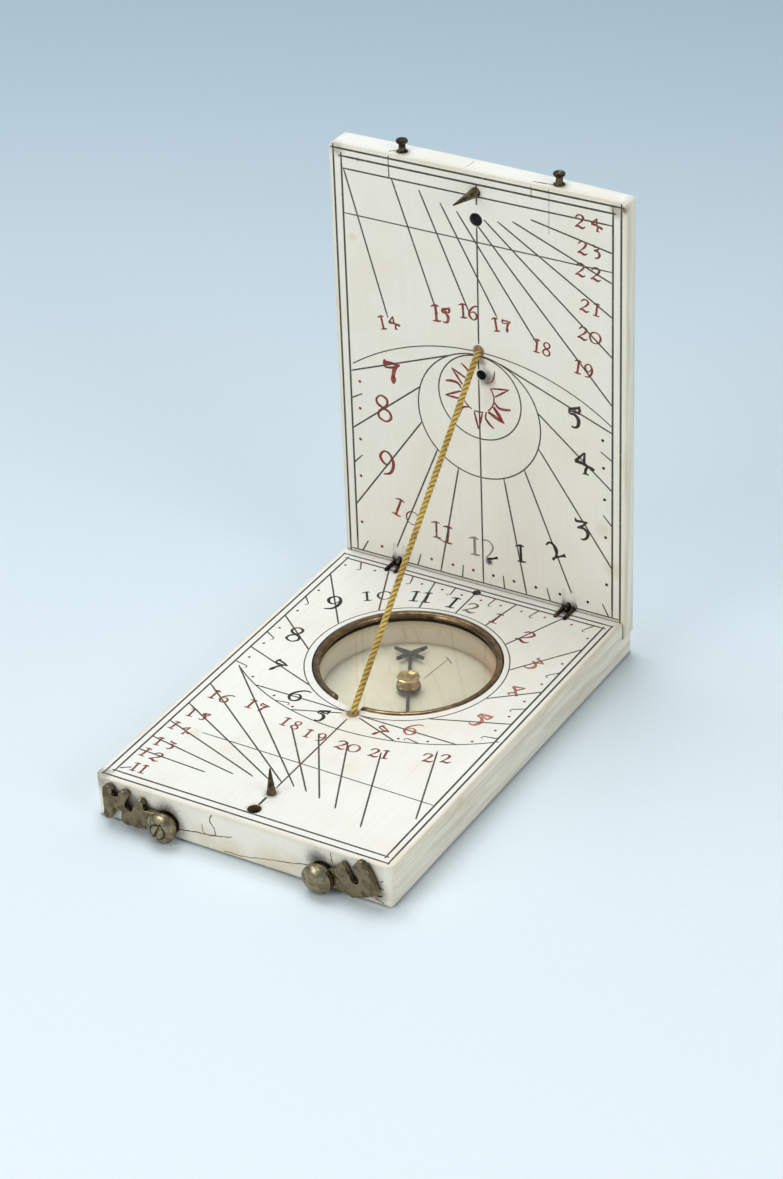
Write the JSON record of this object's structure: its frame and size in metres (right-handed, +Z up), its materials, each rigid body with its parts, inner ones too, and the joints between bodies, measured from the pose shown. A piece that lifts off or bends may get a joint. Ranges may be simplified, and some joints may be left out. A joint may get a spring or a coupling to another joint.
{
  "type": "diptych sundial",
  "caption": "Folding pocket sundial of two hinged leaves, with a cord and two pins as gnomons, a compass under glass and two hooks that latch it shut.",
  "frame": {"origin": "on the underside, straight below the hinge line, half way across the lower leaf", "axes": "+X to the right along the hinge line, +Y to the back, away from the lower dial's free edge, +Z up along the open upper leaf"},
  "size_m": [0.0527, 0.0821, 0.084],
  "materials": {
    "ivory": "satin",
    "hinge_wire": "satin",
    "glass": "gloss",
    "bronze_wire": "satin",
    "steel": "satin",
    "cap_brass": "satin",
    "cord": "matte",
    "wedge_horn": "matte",
    "pin_brass": "satin",
    "old_brass": "satin"
  },
  "bodies": {
    "lower": {"lower_leaf": "ivory", "hinge_staple_left": "hinge_wire", "hinge_staple_right": "hinge_wire", "compass_glass": "glass", "glass_ring": "bronze_wire", "compass_pivot": "steel", "gnomon_cord": "cord", "lower_cord_wedge": "wedge_horn", "lower_pin_gnomon": "pin_brass", "left_hook_screw": "old_brass", "right_hook_screw": "old_brass", "left_hook_washer": "old_brass", "right_hook_washer": "old_brass"},
    "upper": {"upper_leaf": "ivory", "hinge_eye_left": "hinge_wire", "hinge_eye_right": "hinge_wire", "upper_cord_wedge": "wedge_horn", "upper_pin_gnomon": "pin_brass", "left_catch_stud": "old_brass", "right_catch_stud": "old_brass"},
    "needle": {"compass_needle": "steel", "needle_cap": "cap_brass"},
    "left_hook": {"left_hook": "old_brass"},
    "right_hook": {"right_hook": "old_brass"}
  },
  "joints": [
    {"name": "leaf_hinge", "type": "hinge", "parent": "lower", "child": "upper", "pos_m": [0, -0.00015, 0.00755], "axis": [1, 0, 0], "range_deg": [0, 90], "deforming": ["gnomon_cord"]},
    {"name": "needle_turn", "type": "hinge", "parent": "lower", "child": "needle", "pos_m": [0.0009, -0.0256, 0.00215], "axis": [0, 0, 1], "continuous": true},
    {"name": "left_hook_swing", "type": "hinge", "parent": "lower", "child": "left_hook", "pos_m": [-0.013, -0.07535, 0.0028], "axis": [0, 1, 0], "range_deg": [0, 76]},
    {"name": "right_hook_swing", "type": "hinge", "parent": "lower", "child": "right_hook", "pos_m": [0.0144, -0.07535, 0.0028], "axis": [0, -1, 0], "range_deg": [0, 76]}
  ]
}
